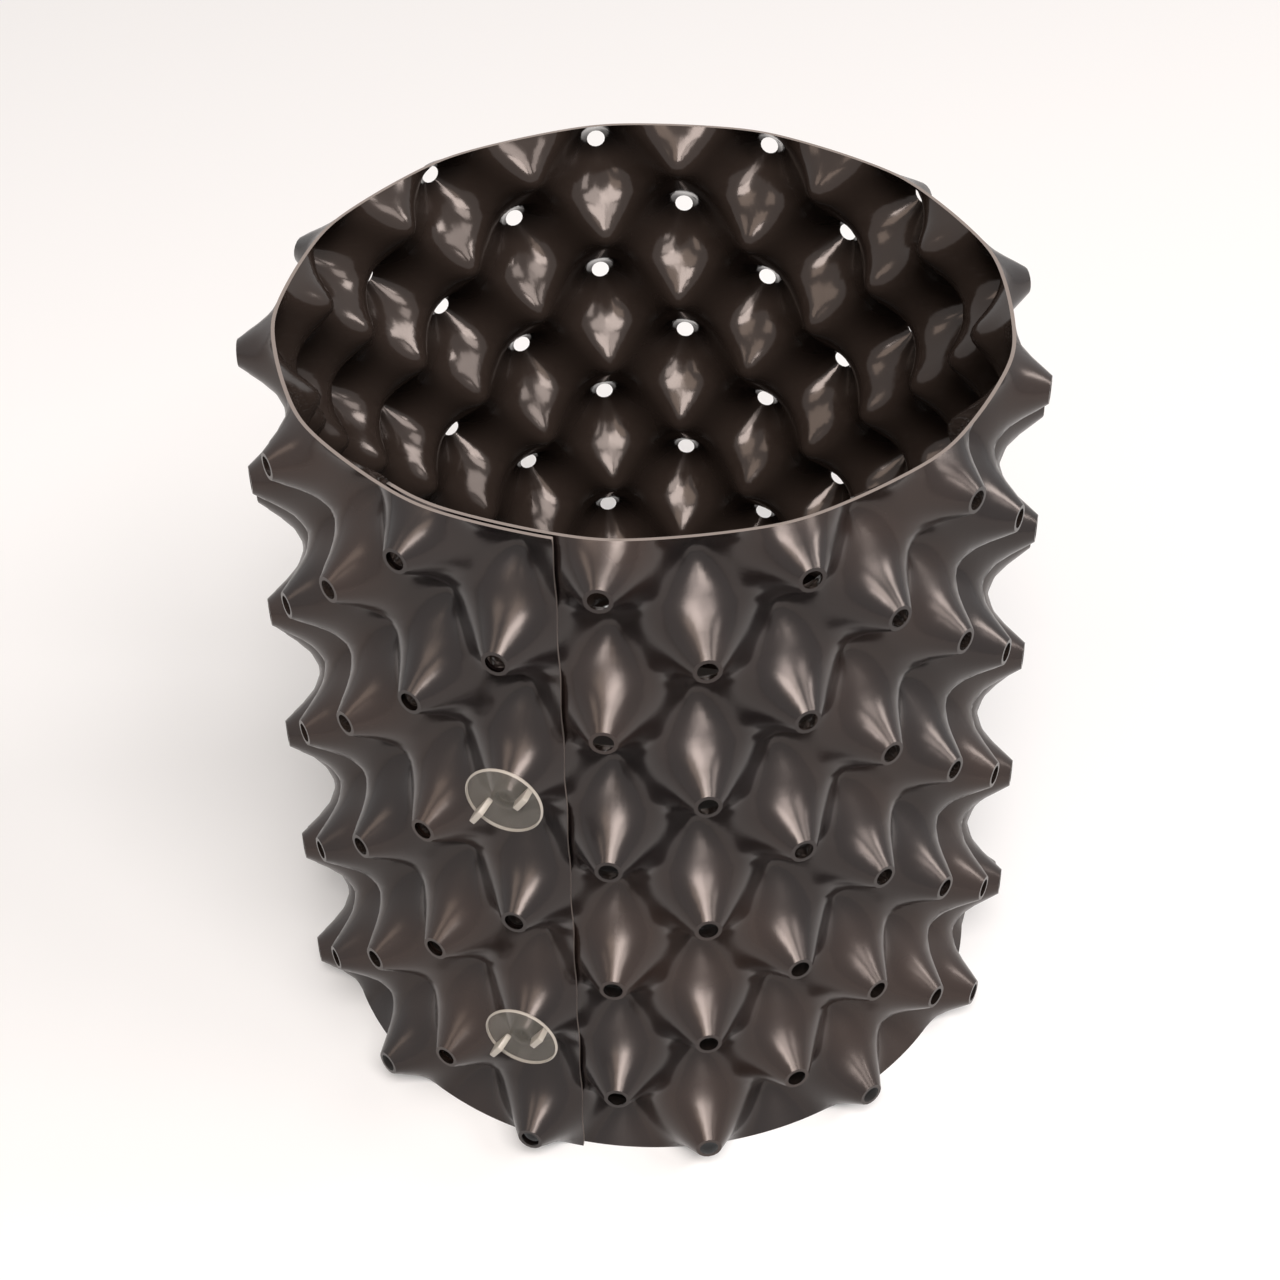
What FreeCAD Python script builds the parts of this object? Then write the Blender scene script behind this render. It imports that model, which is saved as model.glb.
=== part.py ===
import FreeCAD, Part
import math
import os
from types import SimpleNamespace

import Sketcher
from FreeCAD import Placement, Rotation, Vector

# Driving sizes in millimetres and degrees: name, value, what it is
SIZES = (
    ("column_pairs", 13, "pairs of columns in one turn: one leans out where its neighbour leans in"),
    ("overlap_columns", 2, "columns that lie double at the seam"),
    ("rows_high", 10, "rows of cones from foot to rim"),
    ("row_pitch", 30, "height of one row"),
    ("foot_margin", 15, "foot edge below the centre of the lowest row"),
    ("rim_margin", 13.5, "rim above the centre of the top row"),
    ("shell_radius", 128.2, "middle of the sheet at its outer end"),
    ("sheet_thickness", 1.3, "plastic sheet"),
    ("cone_rise", 15.3, "cut end of an outward cone above the middle of its cell"),
    ("cone_dip", 12.6, "closed end of an inward cone below the middle of its cell"),
    ("lip_radius", 4.9, "outside of the cut end of an outward cone"),
    ("hole_radius", 3.5, "air hole in that end"),
    ("blunt_radius", 6, "closed end of an inward cone"),
    ("blunt_wall", 0.5, "how much narrower the hollow of that end is"),
    ("seam_turn", -41.3, "direction of the sheet's inner end, from the front"),
    ("layer_clearance", 0.3, "gap between the nested layers at the seam"),
    ("plate_margin", 5.9, "gap between the sheet and the base plate's edge"),
    ("plate_thickness", 3, "base plate"),
    ("plate_clearance", 0.2, "base plate above the cones that carry it"),
    ("drain_radius", 4, "hole in the base plate"),
    ("drain_pitch", 30, "distance between rings of holes in the base plate"),
    ("flange_radius", 14, "fixing screw's round head"),
    ("flange_thickness", 1.4, "fixing screw's round head"),
    ("fin_height", 5, "grip fin above the head"),
    ("fin_thickness", 2.2, "grip fin"),
    ("fin_length", 9.5, "grip fin at its root"),
    ("fin_slope", 3, "how far a fin's inner edge leans"),
    ("fin_offset", 3.6, "grip fin beside the screw's axis"),
    ("fin_edge", 0.6, "grip fin's end inside the head's edge"),
    ("fin_turn", 56, "fins, from level"),
    ("shank_clearance", 0.3, "shank in the air hole"),
    ("shank_length", 17, "shank below the head, down to its point"),
    ("point_length", 3.5, "tapered point of the shank"),
    ("point_radius", 1.2, "blunt end of that point"),
    ("upper_screw_row", 4, "row of the upper screw, counted down from the rim"),
    ("lower_screw_row", 8, "row of the lower screw, counted down from the rim"),
)
END_SIDES = 8
SAME_PLACE = 1e-6
DRAIN_RINGS = 3
HOLES_PER_RING = 6

doc = FreeCAD.newDocument("air_pruning_pot")
sheet = doc.addObject("Spreadsheet::Sheet", "Sizes")
for cell_row, (alias, value, meaning) in enumerate(SIZES, 1):
    sheet.set(f"A{cell_row}", alias)
    sheet.set(f"B{cell_row}", str(value))
    sheet.set(f"C{cell_row}", meaning)
    sheet.setAlias(f"B{cell_row}", alias)

# Fits between the pieces, worked out from the driving sizes
half_column = "90deg / Sizes.column_pairs"
bore_slope = (
    "((Sizes.row_pitch / 2 - Sizes.hole_radius)"
    " / (Sizes.cone_rise + Sizes.sheet_thickness / 2))"
)
hollow_slope = (
    "((Sizes.row_pitch / 2 - Sizes.blunt_radius + Sizes.blunt_wall)"
    " / (Sizes.cone_dip - Sizes.sheet_thickness / 2))"
)
FITS = (
    (
        "layer_step",
        "max(Sizes.sheet_thickness;"
        f" (Sizes.lip_radius - Sizes.hole_radius) / {bore_slope};"
        f" Sizes.sheet_thickness + Sizes.blunt_wall / {hollow_slope}) + Sizes.layer_clearance",
        "how far the spiral moves out in one turn, so that cones nest in cones",
    ),
    (
        "inner_end_radius",
        "Sizes.shell_radius - layer_step * (1 + Sizes.overlap_columns / Sizes.column_pairs / 2)",
        "middle of the sheet at its inner end",
    ),
    (
        "plate_radius",
        f"inner_end_radius * cos({half_column}) - Sizes.plate_margin",
        "edge of the base plate",
    ),
    (
        "plate_height",
        "Sizes.foot_margin + Sizes.blunt_radius + Sizes.plate_clearance"
        " + (Sizes.row_pitch / 2 - Sizes.blunt_radius) * (Sizes.cone_dip - Sizes.plate_margin)"
        " / (Sizes.cone_dip - Sizes.sheet_thickness / 2)",
        "underside of the base plate, just above the cones that carry it",
    ),
)
fits = doc.addObject("App::VarSet", "Fits")
for name, expression, meaning in FITS:
    fits.addProperty("App::PropertyFloat", name, "Fits", meaning)
    fits.setExpression(name, expression)
doc.recompute()
size = SimpleNamespace(**{alias: float(sheet.get(alias)) for alias, _, _ in SIZES})

# The lattice of cells on the rolled sheet
COLUMNS_IN_TURN = 2 * round(size.column_pairs)
COLUMNS = COLUMNS_IN_TURN + round(size.overlap_columns)
ROWS = round(size.rows_high)
UP = Vector(0, 0, 1)
RIM_HEIGHT = size.foot_margin + size.row_pitch * (ROWS - 1) + size.rim_margin


def row_centre(row):
    """Height of a row's middle. Row 0 is the lowest."""
    return size.foot_margin + size.row_pitch * row


def row_from_rim(count):
    return ROWS - round(count)


def is_outward(column, row):
    return (column + ROWS - 1 - row) % 2 == 0


def spiral_point(column):
    """Where a column of cells begins, in plan, on the middle of the sheet."""
    turn = math.radians(size.seam_turn + 360 / COLUMNS_IN_TURN * column)
    turns_from_outer_end = (COLUMNS - column) / COLUMNS_IN_TURN
    radius = size.shell_radius - fits.layer_step * turns_from_outer_end
    return Vector(radius * math.sin(turn), -radius * math.cos(turn), 0)


def along_column(column):
    return (spiral_point(column + 1) - spiral_point(column)).normalize()


def out_of_column(column):
    return along_column(column).cross(UP)


def node(column, height, lift=0.0):
    """A corner shared by neighbouring cells, on a skin that keeps the sheet's thickness."""
    before, after = out_of_column(column - 1), out_of_column(column)
    mitre = (before + after) * (1 / (1 + before.dot(after)))
    return spiral_point(column) + mitre * lift + UP * height


class Cell:
    """One flat square of the sheet, with its own directions across, up and out of the pot."""

    def __init__(self, column, row):
        self.column = column
        self.outward = is_outward(column, row)
        self.across = along_column(column)
        self.out = out_of_column(column)
        height = row_centre(row)
        self.centre = (node(column, height) + node(column + 1, height)) * 0.5
        half_pitch = size.row_pitch / 2
        self.low = height - (max(half_pitch, size.foot_margin) if row == 0 else half_pitch)
        self.high = height + (max(half_pitch, size.rim_margin) if row == ROWS - 1 else half_pitch)

    def corners(self, lift):
        """The cell's corners, anticlockwise from outside, starting low on the left."""
        left, right = self.column, self.column + 1
        places = ((left, self.low), (right, self.low), (right, self.high), (left, self.high))
        return [node(column, height, lift) for column, height in places]

    def end_ring(self, skin):
        """Corners of the cone's end on one skin: 1 is outside the pot and -1 inside."""
        if self.outward:
            radius, lift = (size.lip_radius if skin > 0 else size.hole_radius), size.cone_rise
        elif skin < 0:
            radius, lift = size.blunt_radius, -size.cone_dip
        else:
            radius = size.blunt_radius - size.blunt_wall
            lift = size.sheet_thickness - size.cone_dip
        side = 2 * math.pi / END_SIDES
        corner_radius = radius / math.cos(side / 2)
        middle = self.centre + self.out * lift
        angles = [-math.pi / 2 - side / 2 + side * i for i in range(END_SIDES)]
        return [
            middle + (self.across * math.cos(a) + UP * math.sin(a)) * corner_radius
            for a in angles
        ]

    def flanks(self, skin):
        """The cone's sides on one skin: four that rise from the cell's sides, four from its corners."""
        corners = self.corners(skin * size.sheet_thickness / 2)
        ring = self.end_ring(skin)
        sides = []
        for i in range(4):
            here, there = corners[i], corners[(i + 1) % 4]
            first, second, third = (ring[(2 * i + step) % END_SIDES] for step in range(3))
            sides.append([here, there, second, first])
            sides.append([there, third, second])
        return sides


# Cut edges of the sheet
def cut_level(polygon, height, keep_below):
    """The part of a polygon on one side of a level."""
    sign = 1 if keep_below else -1
    kept = []
    for start, end in zip(polygon, polygon[1:] + polygon[:1]):
        start_over, end_over = sign * (start.z - height), sign * (end.z - height)
        if start_over <= 0:
            kept.append(start)
        if start_over * end_over < 0:
            kept.append(start + (end - start) * (start_over / (start_over - end_over)))
    return kept


def trimmed_flanks(cell, skin):
    flanks = (cut_level(flank, RIM_HEIGHT, True) for flank in cell.flanks(skin))
    flanks = (cut_level(flank, 0, False) for flank in flanks)
    return [flank for flank in flanks if len(flank) > 2]


def points_at_level(row, height, skin):
    """Where a skin meets a cut level, in order from the inner end of the sheet to the outer one."""
    points = []
    for column in range(COLUMNS):
        cell = Cell(column, row)
        here = [p for flank in trimmed_flanks(cell, skin) for p in flank if abs(p.z - height) < SAME_PLACE]
        here.sort(key=lambda point: point.dot(cell.across))
        for point in here:
            if not points or point.distanceToPoint(points[-1]) > SAME_PLACE:
                points.append(point)
    return points


def points_at_end(column, skin):
    """A skin's upright edge at one end of the sheet, from foot to rim."""
    lift = skin * size.sheet_thickness / 2
    between_rows = [row_centre(row) - size.row_pitch / 2 for row in range(1, ROWS)]
    return [node(column, height, lift) for height in (0, *between_rows, RIM_HEIGHT)]


# The wall
def plane_face(outline, *holes):
    """A flat face that looks the way from which its outline runs anticlockwise."""
    rings = [outline, *(hole[::-1] for hole in holes)]
    face = Part.Face([Part.makePolygon([*ring, ring[0]]) for ring in rings])
    normal = Vector()
    for start, end in zip(outline, outline[1:] + outline[:1]):
        normal += start.cross(end)
    if face.normalAt(0, 0).dot(normal) < 0:
        face.reverse()
    return face


def band_face(outside, inside, looks_back):
    outline = outside + inside[::-1]
    return plane_face(outline[::-1] if looks_back else outline)


def wall_shape():
    """One closed solid: two skins of cones, their cut ends and the four cut edges of the sheet."""
    faces = []
    for column in range(COLUMNS):
        for row in range(ROWS):
            cell = Cell(column, row)
            faces += [plane_face(flank) for flank in trimmed_flanks(cell, 1)]
            faces += [plane_face(flank[::-1]) for flank in trimmed_flanks(cell, -1)]
            outside, inside = (cell.end_ring(skin) for skin in (1, -1))
            if cell.outward:
                faces.append(plane_face(outside, inside))
            else:
                faces += [plane_face(outside), plane_face(inside[::-1])]
    for row, height in ((0, 0.0), (ROWS - 1, RIM_HEIGHT)):
        outside, inside = (points_at_level(row, height, skin) for skin in (1, -1))
        faces.append(band_face(outside, inside, looks_back=row == 0))
    for column in (0, COLUMNS):
        outside, inside = (points_at_end(column, skin) for skin in (1, -1))
        faces.append(band_face(outside, inside, looks_back=column == COLUMNS))
    shell = Part.Shell(faces)
    shell.sewShape()
    solid = Part.Solid(shell.Shells[0])
    if solid.Volume < 0:
        solid.reverse()
    return solid


wall_sheet = doc.addObject("Part::Feature", "WallSheet")
wall_sheet.Label = "wall_sheet"
wall_sheet.Shape = wall_shape()
wall_sheet.Placement = Placement()


# Sketches whose every size is bound to the sheet of sizes
def new_body(label):
    body = doc.addObject("PartDesign::Body", label.title().replace("_", ""))
    body.Label = label
    return body


def origin_feature(body, role):
    return next(feature for feature in body.Origin.OriginFeatures if feature.Role == role)


def new_sketch(body, name, plane):
    sketch = body.newObject("Sketcher::SketchObject", name)
    sketch.AttachmentSupport = (origin_feature(body, plane), [""])
    sketch.MapMode = "FlatFace"
    return sketch


def bind_constraint(sketch, kind, *where, expression):
    index = sketch.addConstraint(Sketcher.Constraint(kind, *where))
    sketch.setExpression(f"Constraints[{index}]", expression)


def draw_outline(sketch, corners):
    """A closed outline through corners that are each bound across and up from the origin."""
    points = [Vector(*map(sketch.evalExpression, corner)) for corner in corners]
    for start, end in zip(points, points[1:] + points[:1]):
        sketch.addGeometry(Part.LineSegment(start, end))
    for i, (across, up) in enumerate(corners):
        sketch.addConstraint(Sketcher.Constraint("Coincident", i - 1 if i else len(corners) - 1, 2, i, 1))
        bind_constraint(sketch, "DistanceX", -1, 1, i, 1, points[i].x, expression=across)
        bind_constraint(sketch, "DistanceY", -1, 1, i, 1, points[i].y, expression=up)


def draw_circle(sketch, radius, across="0"):
    """A circle centred on the level axis, at a bound distance from the upright one."""
    start_radius, start_across = sketch.evalExpression(radius), sketch.evalExpression(across)
    sketch.addGeometry(Part.Circle(Vector(start_across, 0, 0), UP, start_radius))
    sketch.addConstraint(Sketcher.Constraint("PointOnObject", 0, 3, -1))
    bind_constraint(sketch, "DistanceX", -1, 1, 0, 3, start_across, expression=across)
    bind_constraint(sketch, "Radius", 0, start_radius, expression=radius)


def repeat_round(body, name, feature, count):
    pattern = body.newObject("PartDesign::PolarPattern", name)
    pattern.Originals = [feature]
    pattern.Axis = (origin_feature(body, "Z_Axis"), [""])
    pattern.Angle = 360
    pattern.Occurrences = count
    body.Tip = pattern
    doc.recompute()


# The base plate
def add_drain_hole(body, name, across):
    sketch = new_sketch(body, f"{name}Sketch", "XY_Plane")
    draw_circle(sketch, "Sizes.drain_radius", across)
    pocket = body.newObject("PartDesign::Pocket", name)
    pocket.Profile = sketch
    pocket.Type = "ThroughAll"
    pocket.Reversed = True
    doc.recompute()
    return pocket


def make_base_plate():
    body = new_body("base_plate")
    sketch = new_sketch(body, "PlateSketch", "XY_Plane")
    draw_circle(sketch, "Fits.plate_radius")
    pad = body.newObject("PartDesign::Pad", "Plate")
    pad.Profile = sketch
    pad.setExpression("Length", "Sizes.plate_thickness")
    doc.recompute()
    add_drain_hole(body, "MiddleDrain", "0")
    for ring in range(1, DRAIN_RINGS + 1):
        pocket = add_drain_hole(body, f"Drain{ring}", f"Sizes.drain_pitch * {ring}")
        repeat_round(body, f"DrainRing{ring}", pocket, HOLES_PER_RING * ring)
    body.setExpression("Placement.Base.z", "Fits.plate_height")
    return body


# The fixing screws: the head lies on the level plane and the shank points down
def add_shank_and_head(body):
    sketch = new_sketch(body, "ProfileSketch", "XZ_Plane")
    shank = "Sizes.hole_radius - Sizes.shank_clearance"
    point_start = "-Sizes.shank_length"
    point_end = "-Sizes.shank_length - Sizes.point_length"
    draw_outline(
        sketch,
        [
            ("0", "Sizes.flange_thickness"),
            ("0", point_end),
            ("Sizes.point_radius", point_end),
            (shank, point_start),
            (shank, "0"),
            ("Sizes.flange_radius", "0"),
            ("Sizes.flange_radius", "Sizes.flange_thickness"),
        ],
    )
    turned = body.newObject("PartDesign::Revolution", "ShankAndHead")
    turned.Profile = sketch
    turned.ReferenceAxis = (sketch, ["V_Axis"])
    turned.Angle = 360
    doc.recompute()


def add_fins(body):
    """Two upright fins on opposite sides of the axis, each with its outer end near the head's edge."""
    sketch = new_sketch(body, "FinSketch", "XZ_Plane")
    sketch.setExpression("AttachmentOffset.Base.z", "Sizes.fin_offset")
    reach = (
        "sqrt((Sizes.flange_radius - Sizes.fin_edge)^2"
        " - (Sizes.fin_offset + Sizes.fin_thickness / 2)^2)"
    )
    top = "Sizes.flange_thickness + Sizes.fin_height"
    draw_outline(
        sketch,
        [
            (f"{reach} - Sizes.fin_length", "Sizes.flange_thickness"),
            (reach, "Sizes.flange_thickness"),
            (reach, top),
            (f"{reach} - Sizes.fin_length + Sizes.fin_slope", top),
        ],
    )
    fin = body.newObject("PartDesign::Pad", "Fin")
    fin.Profile = sketch
    fin.SideType = "Symmetric"
    fin.setExpression("Length", "Sizes.fin_thickness")
    doc.recompute()
    repeat_round(body, "FinPair", fin, 2)


def make_fixing_screw():
    body = new_body("fixing_screw")
    add_shank_and_head(body)
    add_fins(body)
    return body


def screw_at(name, screw, rows_down):
    """One screw with its head on the last outward cone of a row."""
    row = row_from_rim(rows_down)
    column = COLUMNS - 1 if is_outward(COLUMNS - 1, row) else COLUMNS - 2
    cell = Cell(column, row)
    turn = Rotation(cell.across, UP, cell.out, "ZXY") * Rotation(UP, size.fin_turn)
    placed = doc.addObject("App::Link", name)
    placed.LinkedObject = screw
    placed.LinkTransform = True
    placed.Placement = Placement(cell.centre + cell.out * size.cone_rise, turn)
    return placed


base_plate = make_base_plate()
fixing_screw = make_fixing_screw()
fixing_screws = doc.addObject("Part::Compound", "FixingScrews")
fixing_screws.Label = "fixing_screws"
fixing_screws.Placement = Placement()
fixing_screws.Links = [
    screw_at("UpperScrew", fixing_screw, size.upper_screw_row),
    screw_at("LowerScrew", fixing_screw, size.lower_screw_row),
]
doc.recompute()

# Checks, and the shapes written out
SUB_PARTS = {wall_sheet: 1, base_plate: 1, fixing_screws: 2}
for item in doc.Objects:
    if "Invalid" in item.State or "Error" in item.State:
        raise RuntimeError(f"{item.Label} failed to build: {item.State}")
for sub_part, solids in SUB_PARTS.items():
    shape = sub_part.Shape
    if shape.isNull() or not shape.isValid() or len(shape.Solids) != solids or shape.Volume <= 0:
        raise RuntimeError(f"{sub_part.Label} is not made of whole valid solids")

os.makedirs("parts", exist_ok=True)
for sub_part in SUB_PARTS:
    sub_part.Shape.exportStep(f"parts/{sub_part.Label}.step")
    print(f"{sub_part.Label}: {sub_part.Shape.Volume / 1000:.1f} cm3")
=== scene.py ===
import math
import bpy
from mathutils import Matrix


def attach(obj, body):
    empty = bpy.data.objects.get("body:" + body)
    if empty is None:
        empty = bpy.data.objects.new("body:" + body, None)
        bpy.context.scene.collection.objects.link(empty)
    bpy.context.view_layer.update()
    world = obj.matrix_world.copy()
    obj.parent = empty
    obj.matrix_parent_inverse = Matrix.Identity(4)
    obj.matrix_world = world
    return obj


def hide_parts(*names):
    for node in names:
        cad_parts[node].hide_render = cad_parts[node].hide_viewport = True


bl_info = {
    "name": "Air pruning pot",
    "version": (1, 0, 0),
    "blender": (4, 5, 0),
    "location": "View3D > Sidebar > Pot",
    "description": "A plant pot rolled from a sheet of cones, with its fixing screws and base plate",
    "category": "Object",
}

from typing import NamedTuple

import bmesh
import bpy
from bpy.props import FloatProperty, FloatVectorProperty, IntProperty, PointerProperty
from mathutils import Matrix, Vector

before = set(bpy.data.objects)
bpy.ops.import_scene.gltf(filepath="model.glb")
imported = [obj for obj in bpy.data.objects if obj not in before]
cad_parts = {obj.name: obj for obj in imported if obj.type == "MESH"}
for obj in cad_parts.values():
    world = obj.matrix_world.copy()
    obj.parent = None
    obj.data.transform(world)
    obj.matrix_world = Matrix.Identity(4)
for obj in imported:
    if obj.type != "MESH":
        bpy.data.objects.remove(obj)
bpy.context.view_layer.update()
UP = Vector((0, 0, 1))


# Sizes and colours a user would change
def length(name, description, default):
    return FloatProperty(name=name, description=description, default=default, subtype="DISTANCE", precision=5)


def direction(name, description, degrees):
    return FloatProperty(name=name, description=description, default=math.radians(degrees), subtype="ANGLE")


def colour(name, description, default):
    return FloatVectorProperty(
        name=name, description=description, default=default, size=3, min=0, max=1, subtype="COLOR"
    )


def share(name, description, default):
    return FloatProperty(name=name, description=description, default=default, min=0, max=1, subtype="FACTOR")


def position(name, description, default):
    return FloatVectorProperty(name=name, description=description, default=default, subtype="XYZ")


def count(name, description, default):
    return IntProperty(name=name, description=description, default=default)


def number(name, description, default, low=0.0):
    return FloatProperty(name=name, description=description, default=default, min=low)


class SheetSizes(bpy.types.PropertyGroup):
    column_pairs: count("Column pairs", "Pairs of columns in one turn", 13)
    overlap: count("Overlap", "Columns that lie double at the seam", 2)
    rows: count("Rows", "Rows of cones from foot to rim", 10)
    steps: count("Steps", "Mesh squares along each side of a cell", 12)
    hole_steps: count("Hole steps", "Squares across half an air hole", 2)
    pitch: length("Row pitch", "Height of one row", 0.030)
    foot: length("Foot margin", "Foot edge below the centre of the lowest row", 0.015)
    rim: length("Rim margin", "Rim above the centre of the top row", 0.0135)
    radius: length("Radius", "Middle of the sheet at its outer end", 0.1282)
    thickness: length("Thickness", "Plastic sheet", 0.0013)
    nest: length("Nesting step", "How far the spiral moves out in one turn", 0.002242)
    rise: length("Cone rise", "Cut end of an outward cone above the flat of its cell", 0.0153)
    dip: length("Cone dip", "Closed end of an inward cone below the flat of its cell", 0.0126)
    lip: length("Lip radius", "Outside of the cut end of an outward cone", 0.0049)
    hole: length("Hole radius", "Air hole in that end", 0.0035)
    seam: direction("Seam direction", "The sheet's inner end, from the front", -41.3)
    rim_wave: share("Rim wave", "How near the rim is cut to where the sheet is flat, 1 on it", 0.965)
    shoulder: share("Shoulder", "Slope at an outward cone's end, as a share of its mean slope", 0.95)
    bore: share("Bore", "The same inside the cone, by its air hole", 0.66)
    saddle: share("Saddle", "How far the sheet sinks where four cells meet, 1 as far as an inward cone", 0.16)
    steepness: number("Steepness", "Side of an inward cone", 1.15, low=1.1)
    bluntness: number("Bluntness", "Blunt end of an inward cone", 12, low=2)


class ScrewSizes(bpy.types.PropertyGroup):
    upper_row: count("Upper row", "Row of the upper screw, from the rim", 4)
    lower_row: count("Lower row", "Row of the lower screw, from the rim", 8)
    head: length("Head radius", "Round head", 0.014)
    head_thickness: length("Head thickness", "Round head", 0.0014)
    head_edge: length("Edge rounding", "Rounding of the head's edge", 0.0006)
    shank: length("Shank radius", "Crest of the thread", 0.0032)
    root: length("Thread root", "Radius of the shank between the threads", 0.0024)
    pitch: length("Thread pitch", "Height of one turn of the thread", 0.004)
    thread_sink: share("Thread sink", "Foot of the thread's rib, as a share of the thread root", 0.9)
    shank_length: length("Shank length", "Below the head, down to its point", 0.017)
    point: length("Point length", "Tapered point", 0.0035)
    point_radius: length("Point radius", "Blunt end of the point", 0.0012)
    fin_height: length("Fin height", "Grip fin above the head", 0.005)
    fin_thickness: length("Fin thickness", "Grip fin", 0.0022)
    fin_length: length("Fin length", "Grip fin at its root", 0.0095)
    fin_slope: length("Fin slope", "How far a fin's inner edge leans", 0.003)
    fin_offset: length("Fin offset", "Grip fin beside the screw's axis", 0.0036)
    fin_edge: length("Fin edge", "Fin's end inside the head's edge", 0.0006)
    fin_rounding: length("Fin rounding", "Bevel of a fin's edges", 0.0004)
    fin_turn: direction("Fin direction", "From level", 56)


class FinishSettings(bpy.types.PropertyGroup):
    outside: colour("Outside", "Satin outside of the sheet", (0.007, 0.005, 0.0052))
    outside_warm: colour("Outside, warm", "Browner clouds in the sheet", (0.020, 0.012, 0.0095))
    inside: colour("Inside", "Glossy inside of the sheet", (0.026, 0.019, 0.016))
    sheen: colour("Sheen", "Tint of the plastic's reflections", (1.0, 0.90, 0.86))
    shine: share("Shine", "Strength of the reflections outside", 0.48)
    shine_inside: share("Shine inside", "Strength of the reflections inside", 0.36)
    cut: colour("Cut edge", "Rim and ends, where the sheet was cut", (0.22, 0.19, 0.175))
    plate: colour("Base plate", "Black moulded plastic", (0.022, 0.020, 0.019))
    screw: colour("Screws", "Smoky clear plastic", (0.24, 0.23, 0.20))
    # Lighter than the screws: a painted highlight on their rounded edges and fins, which also hide more of
    # what is behind them
    screw_edge_highlight: colour("Screw edges", "The same, seen through more of it", (0.52, 0.49, 0.44))
    satin: share("Satin", "Roughness outside", 0.25)
    gloss: share("Gloss", "Roughness inside", 0.15)
    uneven: share("Uneven gloss", "How much the sheet's roughness varies", 0.08)
    clouds: number("Clouds", "Brown clouds to a metre", 14)
    ripple: number("Ripple", "Shallow waves outside, to a metre", 55)
    ripple_inside: number("Ripple inside", "Shallow waves inside, to a metre", 70)
    grain: number("Grain", "Grains outside, to a metre", 900)
    relief: length("Relief", "Height of the sheet's waves at full strength", 0.001)
    relief_outside: share("Relief outside", "Strength of the waves and grains outside", 0.15)
    relief_inside: share("Relief inside", "Strength of the waves inside", 0.2)
    cut_roughness: share("Cut roughness", "Roughness of the cut edge", 0.5)
    plate_roughness: share("Plate roughness", "Roughness of the base plate", 0.42)
    plate_uneven: share("Uneven plate", "How much the plate's roughness varies", 0.1)
    plate_clouds: number("Plate clouds", "Duller and glossier clouds to a metre", 20)
    plate_grain: number("Plate grain", "Grains of the base plate, to a metre", 600)
    plate_relief: length("Plate relief", "Height of the plate's grains at full strength", 0.0005)
    plate_strength: share("Plate strength", "Strength of the plate's grains", 0.15)
    screw_cover: share("Screw cover", "How much a screw hides what is behind it", 0.2)
    screw_roughness: share("Screw roughness", "Roughness of the screws", 0.22)
    edge_cover: share("Edge cover", "How much a screw's edges and fins hide", 0.75)
    edge_roughness: share("Edge roughness", "Roughness of a screw's edges and fins", 0.3)


class StageSettings(bpy.types.PropertyGroup):
    camera_place: position("Camera place", "Where the camera stands", (0, -0.75357, 0.8024))
    camera_turn: direction("Camera turn", "Camera to the right of straight ahead", -0.343)
    camera_dip: direction("Camera dip", "Camera looks down", 40.976)
    camera_roll: direction("Camera roll", "Camera turned about its own sight line", -1.434)
    lens: number("Lens", "Focal length in millimetres", 73.27)
    sensor: number("Sensor", "Width of the camera's sensor in millimetres", 36)
    floor: colour("Floor", "Pale floor", (0.74, 0.76, 0.78))
    sky: colour("Surroundings", "White room", (1.0, 1.0, 1.0))
    sky_strength: number("Room light", "Strength of the room's light", 0.08)
    floor_glow: number("Floor glow", "Lifts the seen floor to white", 0.2)
    floor_reach: length("Floor reach", "From the pot's axis to the floor's sides", 6)
    lamps_aim: position("Lamps' aim", "Where the lamps point", (0, 0, 0.15))
    white: colour("White lamps", "Warm white", (1.0, 0.92, 0.87))
    amber: colour("Amber lamps", "Browner light from the left", (1.0, 0.82, 0.68))


# Materials
NOISE_MEAN = 0.5
CLOUD_EDGE = (0.38, 0.66)
RIPPLE_SHARE = 0.7
GRAIN_SHARE = 0.06


class Value:
    """A shader socket that Python's operators work on."""

    def __init__(self, nodes, socket):
        self.nodes = nodes
        self.socket = socket

    def _math(self, operation, *values):
        return self.nodes.add("ShaderNodeMath", {"operation": operation}, dict(enumerate(values)))

    def __add__(self, other):
        return self._math("ADD", self, other)

    def __sub__(self, other):
        return self._math("SUBTRACT", self, other)

    def __rsub__(self, other):
        return self._math("SUBTRACT", other, self)

    def __mul__(self, other):
        return self._math("MULTIPLY", self, other)

    __radd__ = __add__
    __rmul__ = __mul__

    def between(self, low, high):
        """0 under low, 1 over high and a smooth step between them."""
        inputs = {"Value": self, "From Min": low, "From Max": high}
        return self.nodes.add("ShaderNodeMapRange", {"interpolation_type": "SMOOTHSTEP"}, inputs)


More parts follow.
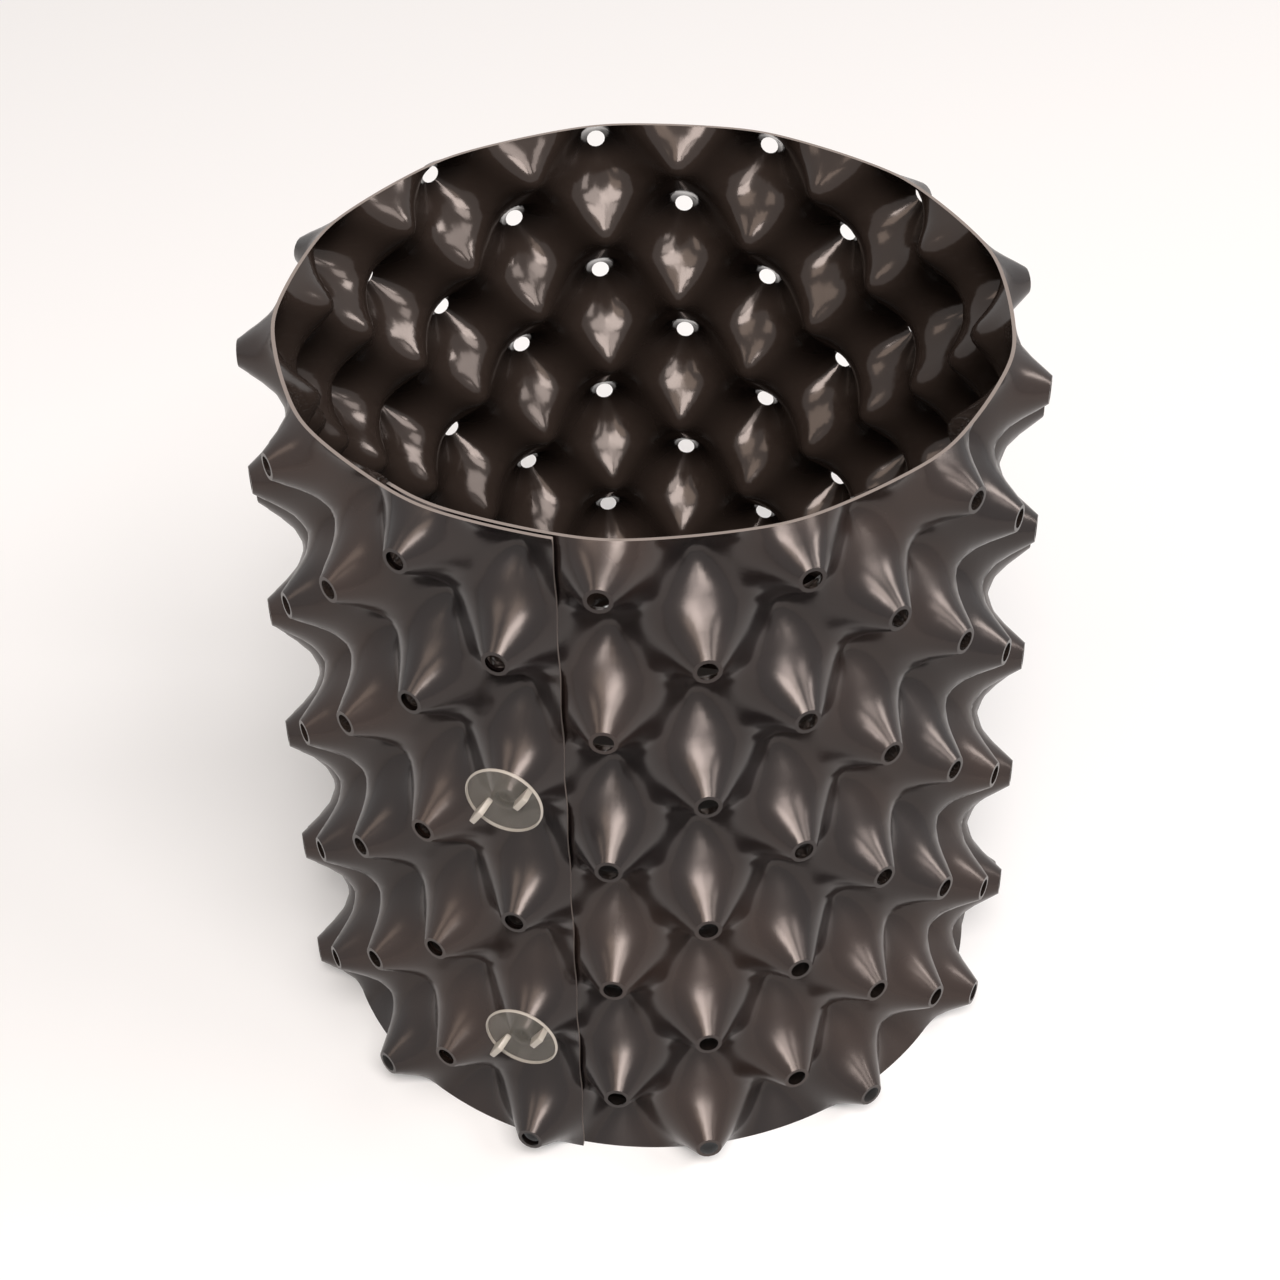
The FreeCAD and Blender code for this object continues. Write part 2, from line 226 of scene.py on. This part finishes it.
class Nodes:
    """The nodes of one material or world."""

    def __init__(self, owner):
        owner.use_nodes = True
        self.tree = owner.node_tree
        self.tree.nodes.clear()

    def add(self, kind, settings=None, inputs=None, output=0):
        node = self.tree.nodes.new(kind)
        for name, setting in (settings or {}).items():
            setattr(node, name, setting)
        for name, value in (inputs or {}).items():
            if isinstance(value, Value):
                self.tree.links.new(value.socket, node.inputs[name])
            else:
                node.inputs[name].default_value = value
        return Value(self, node.outputs[output]) if node.outputs else None

    def mix(self, factor, first, second):
        """One colour where the factor is 0, the other where it is 1."""
        node = self.tree.nodes.new("ShaderNodeMix")
        node.data_type = "RGBA"
        sockets = {socket.identifier: socket for socket in node.inputs}
        self.tree.links.new(factor.socket, sockets["Factor_Float"])
        sockets["A_Color"].default_value = first
        sockets["B_Color"].default_value = second
        return Value(self, next(s for s in node.outputs if s.identifier == "Result_Color"))

    def bump(self, height, strength, distance):
        inputs = {"Height": height, "Strength": strength, "Distance": distance}
        return self.add("ShaderNodeBump", {}, inputs)

    def noise(self, scale, detail=2.0):
        place = self.add("ShaderNodeTexCoord", output="Object")
        return self.add("ShaderNodeTexNoise", {}, {"Vector": place, "Scale": scale, "Detail": detail})


def opaque(rgb):
    return (*rgb, 1.0)


def plastic(name, inputs):
    """A new material with one Principled shader. Its inputs come from a function that gets the nodes."""
    material = bpy.data.materials.new(name)
    nodes = Nodes(material)
    shader = nodes.add("ShaderNodeBsdfPrincipled", {}, inputs(nodes))
    nodes.add("ShaderNodeOutputMaterial", {}, {"Surface": shader})
    return material


def outside_plastic(finish):
    def inputs(nodes):
        cloud = nodes.noise(finish.clouds)
        grain = nodes.noise(finish.grain, detail=1.0)
        ripple = nodes.noise(finish.ripple)
        height = ripple * RIPPLE_SHARE + grain * GRAIN_SHARE
        warmth = cloud.between(*CLOUD_EDGE)
        return {
            "Base Color": nodes.mix(warmth, opaque(finish.outside), opaque(finish.outside_warm)),
            "Roughness": finish.satin + (cloud - NOISE_MEAN) * finish.uneven,
            "Specular IOR Level": finish.shine,
            "Specular Tint": opaque(finish.sheen),
            "Normal": nodes.bump(height, finish.relief_outside, finish.relief),
        }

    return plastic("Satin outside", inputs)


def inside_plastic(finish):
    def inputs(nodes):
        ripple = nodes.noise(finish.ripple_inside)
        return {
            "Base Color": opaque(finish.inside),
            "Roughness": finish.gloss + (ripple - NOISE_MEAN) * finish.uneven,
            "Specular IOR Level": finish.shine_inside,
            "Specular Tint": opaque(finish.sheen),
            "Normal": nodes.bump(ripple, finish.relief_inside, finish.relief),
        }

    return plastic("Glossy inside", inputs)


def cut_plastic(finish):
    inputs = {"Base Color": opaque(finish.cut), "Roughness": finish.cut_roughness}
    return plastic("Cut edge", lambda nodes: inputs)


def plate_plastic(finish):
    def inputs(nodes):
        cloud = nodes.noise(finish.plate_clouds)
        grain = nodes.noise(finish.plate_grain, detail=1.0)
        return {
            "Base Color": opaque(finish.plate),
            "Roughness": finish.plate_roughness + (cloud - NOISE_MEAN) * finish.plate_uneven,
            "Normal": nodes.bump(grain, finish.plate_strength, finish.plate_relief),
        }

    return plastic("Moulded black plastic", inputs)


def clear_plastic(name, rgb, roughness, cover):
    """Plastic that lets what is behind it show through. Cover is how much of that it hides."""
    inputs = {"Base Color": opaque(rgb), "Roughness": roughness, "Alpha": cover}
    return plastic(name, lambda nodes: inputs)


# The rolled sheet
class RolledSheet:
    """Where each spot of the flat sheet goes once its cones are formed and it is rolled up."""

    def __init__(self, sizes):
        self.sizes = sizes
        self.in_turn = 2 * sizes.column_pairs
        self.columns = self.in_turn + sizes.overlap
        self.half_pitch = sizes.pitch / 2
        self.hole_reach = 2 * sizes.hole_steps / sizes.steps
        bulge = sizes.radius * (1 - math.cos(math.pi / self.in_turn))
        self.rise = sizes.rise - bulge
        self.dip = sizes.dip + bulge

    def is_outward(self, column, row):
        return (column + self.sizes.rows - 1 - row) % 2 == 0

    def direction(self, along):
        turn = self.sizes.seam + 2 * math.pi * along / self.in_turn
        return Vector((math.sin(turn), -math.cos(turn), 0))

    def radius(self, along):
        return self.sizes.radius - self.sizes.nest * (self.columns - along) / self.in_turn

    def height(self, row):
        return self.sizes.foot + self.sizes.pitch * row

    def swell(self, crest, outside):
        """Lift of one skin. Crest is 1 on an outward axis, 0 on a cell's edge and -1 on an inward axis."""
        sizes = self.sizes
        skin = sizes.thickness / 2 if outside else -sizes.thickness / 2
        end = (sizes.lip if outside else sizes.hole) / self.half_pitch
        travel_out, travel_in = self.rise - skin, self.dip - sizes.thickness / 2
        away = 2 / math.pi * math.acos(min(1.0, abs(crest)))
        whole_bullet = self.bullet(0)
        if crest <= 0:
            return skin - travel_in * self.bullet(away) / whole_bullet
        down = max(0.0, (away - end) / (1 - end))
        slope_at_end = sizes.shoulder if outside else sizes.bore
        slope_at_edge = sizes.steepness / whole_bullet * travel_in * (1 - end) / travel_out
        fall = down**2 * (3 - 2 * down)
        return skin + travel_out * (
            1 - fall - slope_at_end * down * (1 - down) ** 2 + slope_at_edge * down**2 * (1 - down)
        )

    def bullet(self, away):
        """An inward cone's section: straight where it leaves the cell's edge, and blunt on its axis."""
        lean = self.sizes.steepness * (1 - away)
        return lean / (1 + lean**self.sizes.bluntness) ** (1 / self.sizes.bluntness)

    def rounded(self, across, up):
        """Squares around the middle of a cell turn into circles. Its border stays square."""
        reach = max(abs(across), abs(up))
        if reach == 0:
            return 0.0, 0.0, 0.0
        if abs(across) >= abs(up):
            along_ring, angle = across, math.pi / 4 * up / across
        else:
            along_ring, angle = up, math.pi / 2 - math.pi / 4 * across / up
        square = max(0.0, (reach - self.hole_reach) / (1 - self.hole_reach)) ** 2
        ring_across, ring_up = along_ring * math.cos(angle), along_ring * math.sin(angle)
        return ring_across + (across - ring_across) * square, ring_up + (up - ring_up) * square, square

    def place(self, along, up, outside):
        """Where a spot of the flat sheet, in columns and rows, lies on a skin of the rolled one."""
        sizes = self.sizes
        column = min(int(along), self.columns - 1)
        row = min(int(up), sizes.rows - 1)
        reach = max(abs(2 * (along - column) - 1), abs(2 * (up - row) - 1))
        across, rise, square = self.rounded(2 * (along - column) - 1, 2 * (up - row) - 1)
        outward = self.is_outward(column, row)
        if outward and reach > 0:
            end = (sizes.lip if outside else sizes.hole) / self.half_pitch
            spread = end + (reach - self.hole_reach) * (1 - end) / (1 - self.hole_reach)
            across, rise = across * spread / reach, rise * spread / reach
        at_rim = row == sizes.rows - 1 and rise > 0
        at_foot = row == 0 and rise < 0
        crest_rise, margin = rise, self.half_pitch
        if at_rim:
            crest_rise, margin = rise * (1 - (1 - sizes.rim_wave) * reach**2), sizes.rim
        elif at_foot:
            margin = sizes.foot
        crest = math.cos(math.pi / 2 * across) * math.cos(math.pi / 2 * crest_rise)
        corner = (math.sin(math.pi / 2 * across) * math.sin(math.pi / 2 * crest_rise)) ** 2
        if at_rim or at_foot:
            corner *= 1 - crest_rise**2
        rise *= 1 - (1 - margin / self.half_pitch) * reach**2
        lift = self.swell((crest if outward else -crest) - sizes.saddle * corner, outside)
        half_width = self.radius(along) * math.pi / self.in_turn
        width_share = (self.half_pitch + (half_width - self.half_pitch) * square) / half_width
        middle = column + 0.5
        turned = middle + across * width_share / 2
        base = self.direction(turned) * self.radius(turned)
        leaning = self.direction(middle + (turned - middle) * square)
        return base + leaning * lift + UP * (self.height(row) + rise * self.half_pitch)


def new_object(name, mesh, materials):
    data = bpy.data.meshes.new(name)
    mesh.to_mesh(data)
    mesh.free()
    for material in materials:
        data.materials.append(material)
    made = bpy.data.objects.new(name, data)
    bpy.context.scene.collection.objects.link(made)
    return made


def sharpen_borders(mesh):
    """Edges between two finishes stay crisp under smooth shading."""
    for face in mesh.faces:
        face.smooth = True
    for edge in mesh.edges:
        edge.smooth = len({face.material_index for face in edge.link_faces}) == 1


# Material slots of the sheet. An air hole's lip has its own, so that its borders stay crisp.
OUTSIDE, INSIDE, CUT, LIP = range(4)


class POT_OT_wall_sheet(bpy.types.Operator):
    """Make the sheet of outward and inward cones and roll it up"""

    bl_idname = "pot.wall_sheet"
    bl_label = "Wall sheet"

    def execute(self, context):
        sizes, finish = context.scene.pot_sheet, context.scene.pot_finish
        rolled = RolledSheet(sizes)
        mesh = bmesh.new()
        flat = Matrix.Diagonal((rolled.columns / 2, sizes.rows / 2, 1, 1))
        bmesh.ops.create_grid(
            mesh,
            x_segments=rolled.columns * sizes.steps,
            y_segments=sizes.rows * sizes.steps,
            size=1,
            matrix=Matrix.Translation((rolled.columns / 2, sizes.rows / 2, 0)) @ flat,
        )
        bmesh.ops.delete(mesh, geom=[f for f in mesh.faces if self.is_air_hole(rolled, f)], context="FACES")
        bmesh.ops.solidify(mesh, geom=mesh.faces[:], thickness=1)
        heights = [vertex.co.z for vertex in mesh.verts]
        half_way = (min(heights) + max(heights)) / 2
        for face in mesh.faces:
            above = {vertex.co.z > half_way for vertex in face.verts}
            if len(above) == 2:
                face.material_index = CUT if self.is_sheet_border(rolled, face) else LIP
            else:
                face.material_index = OUTSIDE if above.pop() else INSIDE
        sharpen_borders(mesh)
        for vertex in mesh.verts:
            vertex.co = rolled.place(vertex.co.x, vertex.co.y, vertex.co.z > half_way)
        bmesh.ops.recalc_face_normals(mesh, faces=mesh.faces[:])
        outside = outside_plastic(finish)
        materials = (outside, inside_plastic(finish), cut_plastic(finish), outside)
        wall = new_object("rolled_sheet", mesh, materials)
        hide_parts("wall_sheet")
        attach(wall, "root")
        return {"FINISHED"}

    def is_air_hole(self, rolled, face):
        middle = face.calc_center_median()
        column, row = int(middle.x), int(middle.y)
        reach = max(abs(2 * (middle.x - column) - 1), abs(2 * (middle.y - row) - 1))
        return rolled.is_outward(column, row) and reach < rolled.hole_reach

    def is_sheet_border(self, rolled, face):
        middle = face.calc_center_median()
        inset = min(middle.x, middle.y, rolled.columns - middle.x, rolled.sizes.rows - middle.y)
        return inset < 0.5 / rolled.sizes.steps


# The base plate
class POT_OT_base_plate(bpy.types.Operator):
    """Give the base plate its moulded plastic"""

    bl_idname = "pot.base_plate"
    bl_label = "Base plate"

    def execute(self, context):
        material = plate_plastic(context.scene.pot_finish)
        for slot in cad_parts["base_plate"].material_slots:
            slot.material = material
        return {"FINISHED"}


# The fixing screws, with the head on the level plane and the shank pointing down
HEAD_STEPS = 72
THREAD_STEPS = 24
SAME_SPOT = 1e-6
CREASE_ANGLE = math.radians(40)


def turned_shape(mesh, profile):
    """Spin an outline that begins and ends on the upright axis."""
    verts = [mesh.verts.new((across, 0, up)) for across, up in profile]
    edges = [mesh.edges.new(pair) for pair in zip(verts, verts[1:])]
    bmesh.ops.spin(
        mesh,
        geom=verts + edges,
        cent=(0, 0, 0),
        axis=UP,
        angle=2 * math.pi,
        steps=HEAD_STEPS,
        use_merge=True,
    )
    bmesh.ops.remove_doubles(mesh, verts=mesh.verts[:], dist=SAME_SPOT)


def screw_body(sizes):
    """The round head with its rounded edge, and the shank with its point."""
    mesh = bmesh.new()
    edge, thick = sizes.head_edge, sizes.head_thickness
    end = -sizes.shank_length - sizes.point
    profile = [
        (0, end),
        (sizes.point_radius, end),
        (sizes.root, -sizes.shank_length),
        (sizes.root, 0),
        (sizes.head - edge, 0),
        (sizes.head, edge),
        (sizes.head, thick - edge),
        (sizes.head - edge, thick),
        (0, thick),
    ]
    turned_shape(mesh, profile)
    # The rounded edge takes the second material, whose lighter colour is a painted highlight
    for face in mesh.faces:
        middle = face.calc_center_median()
        face.material_index = int(math.hypot(middle.x, middle.y) > sizes.head - edge)
    return mesh


def screw_thread(sizes):
    """A coarse rib that winds up the shank."""
    mesh = bmesh.new()
    half = sizes.pitch / 4
    sunk = sizes.root * sizes.thread_sink
    corners = ((sunk, -half), (sizes.shank, 0), (sunk, half))
    start = -sizes.shank_length + half
    verts = [mesh.verts.new((across, 0, start + up)) for across, up in corners]
    face = mesh.faces.new(verts)
    turns = (sizes.shank_length - 3 * half) / sizes.pitch
    steps = round(THREAD_STEPS * turns)
    rise = sizes.pitch * turns / steps
    bmesh.ops.spin(
        mesh,
        geom=[face, *face.edges, *verts],
        cent=(0, 0, 0),
        axis=UP,
        dvec=(0, 0, rise),
        angle=2 * math.pi * turns,
        steps=steps,
    )
    bmesh.ops.recalc_face_normals(mesh, faces=mesh.faces[:])
    return mesh


def screw_fin(sizes):
    """One upright fin whose inner edge leans."""
    mesh = bmesh.new()
    reach = math.sqrt((sizes.head - sizes.fin_edge) ** 2 - (sizes.fin_offset + sizes.fin_thickness / 2) ** 2)
    root = sizes.head_thickness / 2
    tall = sizes.head_thickness + sizes.fin_height - root
    box = Matrix.Diagonal((sizes.fin_length, sizes.fin_thickness, tall, 1))
    middle = Vector((reach - sizes.fin_length / 2, -sizes.fin_offset, root + tall / 2))
    bmesh.ops.create_cube(mesh, size=1, matrix=Matrix.Translation(middle) @ box)
    leaning = [v for v in mesh.verts if v.co.z > middle.z and v.co.x < middle.x]
    bmesh.ops.translate(mesh, verts=leaning, vec=(sizes.fin_slope, 0, 0))
    bmesh.ops.bevel(
        mesh,
        geom=mesh.edges[:],
        offset=sizes.fin_rounding,
        segments=2,
        affect="EDGES",
        profile=0.5,
        material=-1,
    )
    # The whole fin takes the second material, whose lighter colour is a painted highlight
    for face in mesh.faces:
        face.material_index = 1
    return mesh


def add_mesh(target, source, matrix):
    """Join a copy of one mesh to another, moved by a matrix."""
    part = source.copy()
    bmesh.ops.transform(part, matrix=matrix, verts=part.verts[:])
    data = bpy.data.meshes.new("Joined")
    part.to_mesh(data)
    part.free()
    target.from_mesh(data)
    bpy.data.meshes.remove(data)


class POT_OT_fixing_screws(bpy.types.Operator):
    """Make the two screws that hold the sheet's ends together"""

    bl_idname = "pot.fixing_screws"
    bl_label = "Fixing screws"

    def execute(self, context):
        sizes, finish = context.scene.pot_screws, context.scene.pot_finish
        rolled = RolledSheet(context.scene.pot_sheet)
        body, thread, fin = screw_body(sizes), screw_thread(sizes), screw_fin(sizes)
        half_turn = Matrix.Rotation(math.pi, 4, "Z")
        mesh = bmesh.new()
        for rows_down in (sizes.upper_row, sizes.lower_row):
            seat = self.seat(rolled, sizes, rows_down)
            add_mesh(mesh, body, seat)
            add_mesh(mesh, thread, seat)
            add_mesh(mesh, fin, seat)
            add_mesh(mesh, fin, seat @ half_turn)
        for made in (body, thread, fin):
            made.free()
        middle = clear_plastic(
            "Smoky clear plastic", finish.screw, finish.screw_roughness, finish.screw_cover
        )
        # The edges and fins get a lighter colour, a painted highlight, and more cover than the head's flat
        # faces
        edge = clear_plastic("Screw edges", finish.screw_edge_highlight, finish.edge_roughness, finish.edge_cover)
        screws = new_object("threaded_screws", mesh, (middle, edge))
        screws.data.shade_smooth()
        screws.data.set_sharp_from_angle(angle=CREASE_ANGLE)
        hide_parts("fixing_screws")
        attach(screws, "root")
        return {"FINISHED"}

    def seat(self, rolled, sizes, rows_down):
        """Where a screw sits: on the open end of the outward cone that is nearest the sheet's outer end."""
        row = rolled.sizes.rows - rows_down
        column = rolled.columns - (1 if rolled.is_outward(rolled.columns - 1, row) else 2)
        out = rolled.direction(column + 0.5)
        across = UP.cross(out)
        place = out * (rolled.radius(column + 0.5) + rolled.rise) + UP * rolled.height(row)
        turned = Matrix((across, UP, out)).transposed().to_4x4()
        return Matrix.Translation(place) @ turned @ Matrix.Rotation(sizes.fin_turn, 4, "Z")


# The stage
class Lamp(NamedTuple):
    """A square-cornered lamp: its place and size in metres and its power in watts."""

    name: str
    place: tuple
    size: tuple
    watts: float
    is_amber: bool = False


LAMPS = (
    Lamp("Front lamp", (0.04, -2.29, 3.43), (1.2, 1.6), 108),
    Lamp("Right front lamp", (1.20, -1.96, 3.43), (1.12, 1.6), 58),
    Lamp("Left front lamp", (-1.12, -2.0, 3.43), (1.12, 1.6), 20, is_amber=True),
    Lamp("Right lamp", (2.62, -1.02, 2.99), (1.21, 1.02), 27),
    Lamp("Far right lamp", (3.2, 0.3, 2.45), (0.9, 0.9), 40),
    Lamp("Left lamp", (-2.71, -0.92, 2.94), (1.21, 1.02), 12, is_amber=True),
)


def seen_as_background(nodes):
    """1 for a ray that shows the surroundings straight, in gloss or through clear plastic, otherwise 0."""
    rays = ("Is Camera Ray", "Is Glossy Ray", "Is Transmission Ray")
    camera, glossy, through = (nodes.add("ShaderNodeLightPath", output=ray) for ray in rays)
    return nodes.add("ShaderNodeClamp", {}, {"Value": camera + glossy + through})


def floor_material(settings):
    material = bpy.data.materials.new("Pale floor")
    nodes = Nodes(material)
    strength = seen_as_background(nodes) * settings.floor_glow
    matt = nodes.add("ShaderNodeBsdfDiffuse", {}, {"Color": opaque(settings.floor)})
    glow = nodes.add("ShaderNodeEmission", {}, {"Color": opaque(settings.sky), "Strength": strength})
    both = nodes.add("ShaderNodeAddShader", {}, {0: matt, 1: glow})
    nodes.add("ShaderNodeOutputMaterial", {}, {"Surface": both})
    return material


def light_room(world, settings):
    nodes = Nodes(world)
    strength = seen_as_background(nodes) * (1 - settings.sky_strength) + settings.sky_strength
    colour_seen = opaque(settings.sky)
    background = nodes.add("ShaderNodeBackground", {}, {"Color": colour_seen, "Strength": strength})
    nodes.add("ShaderNodeOutputWorld", {}, {"Surface": background})


def add_lamp(settings, kind):
    data = bpy.data.lights.new(kind.name, "AREA")
    data.shape = "RECTANGLE"
    data.size, data.size_y = kind.size
    data.energy = kind.watts
    data.color = settings.amber if kind.is_amber else settings.white
    lamp = bpy.data.objects.new(kind.name, data)
    lamp.location = kind.place
    towards = Vector(settings.lamps_aim) - Vector(kind.place)
    lamp.rotation_euler = towards.to_track_quat("-Z", "Y").to_euler()
    bpy.context.scene.collection.objects.link(lamp)


def add_camera(scene, settings):
    data = bpy.data.cameras.new("Camera")
    data.lens = settings.lens
    data.sensor_width = settings.sensor
    camera = bpy.data.objects.new("Camera", data)
    camera.matrix_world = (
        Matrix.Translation(settings.camera_place)
        @ Matrix.Rotation(-settings.camera_turn, 4, "Z")
        @ Matrix.Rotation(math.pi / 2 - settings.camera_dip, 4, "X")
        @ Matrix.Rotation(settings.camera_roll, 4, "Z")
    )
    scene.collection.objects.link(camera)
    scene.camera = camera


class POT_OT_stage(bpy.types.Operator):
    """Add the floor, the lamps and the camera"""

    bl_idname = "pot.stage"
    bl_label = "Stage"

    def execute(self, context):
        scene, settings = context.scene, context.scene.pot_stage
        mesh = bmesh.new()
        bmesh.ops.create_grid(mesh, x_segments=1, y_segments=1, size=settings.floor_reach)
        floor = new_object("floor", mesh, (floor_material(settings),))
        scene.world = bpy.data.worlds.new("Room")
        light_room(scene.world, settings)
        for kind in LAMPS:
            add_lamp(settings, kind)
        add_camera(scene, settings)
        scene.view_settings.view_transform = "Standard"
        return {"FINISHED"}


class POT_PT_panel(bpy.types.Panel):
    """The pot's pieces and stage"""

    bl_idname = "POT_PT_panel"
    bl_label = "Air pruning pot"
    bl_space_type = "VIEW_3D"
    bl_region_type = "UI"
    bl_category = "Pot"

    def draw(self, context):
        for operator in OPERATORS:
            self.layout.operator(operator.bl_idname)


OPERATORS = (POT_OT_wall_sheet, POT_OT_base_plate, POT_OT_fixing_screws, POT_OT_stage)
GROUPS = {
    "pot_sheet": SheetSizes,
    "pot_screws": ScrewSizes,
    "pot_finish": FinishSettings,
    "pot_stage": StageSettings,
}


def register():
    for name, group in GROUPS.items():
        bpy.utils.register_class(group)
        setattr(bpy.types.Scene, name, PointerProperty(type=group))
    for each in (*OPERATORS, POT_PT_panel):
        bpy.utils.register_class(each)


def unregister():
    for each in reversed((*OPERATORS, POT_PT_panel)):
        bpy.utils.unregister_class(each)
    for name, group in GROUPS.items():
        delattr(bpy.types.Scene, name)
        bpy.utils.unregister_class(group)


def main():
    register()
    bpy.ops.pot.wall_sheet()
    bpy.ops.pot.base_plate()
    bpy.ops.pot.fixing_screws()
    bpy.ops.pot.stage()


if __name__ == "__main__":
    main()
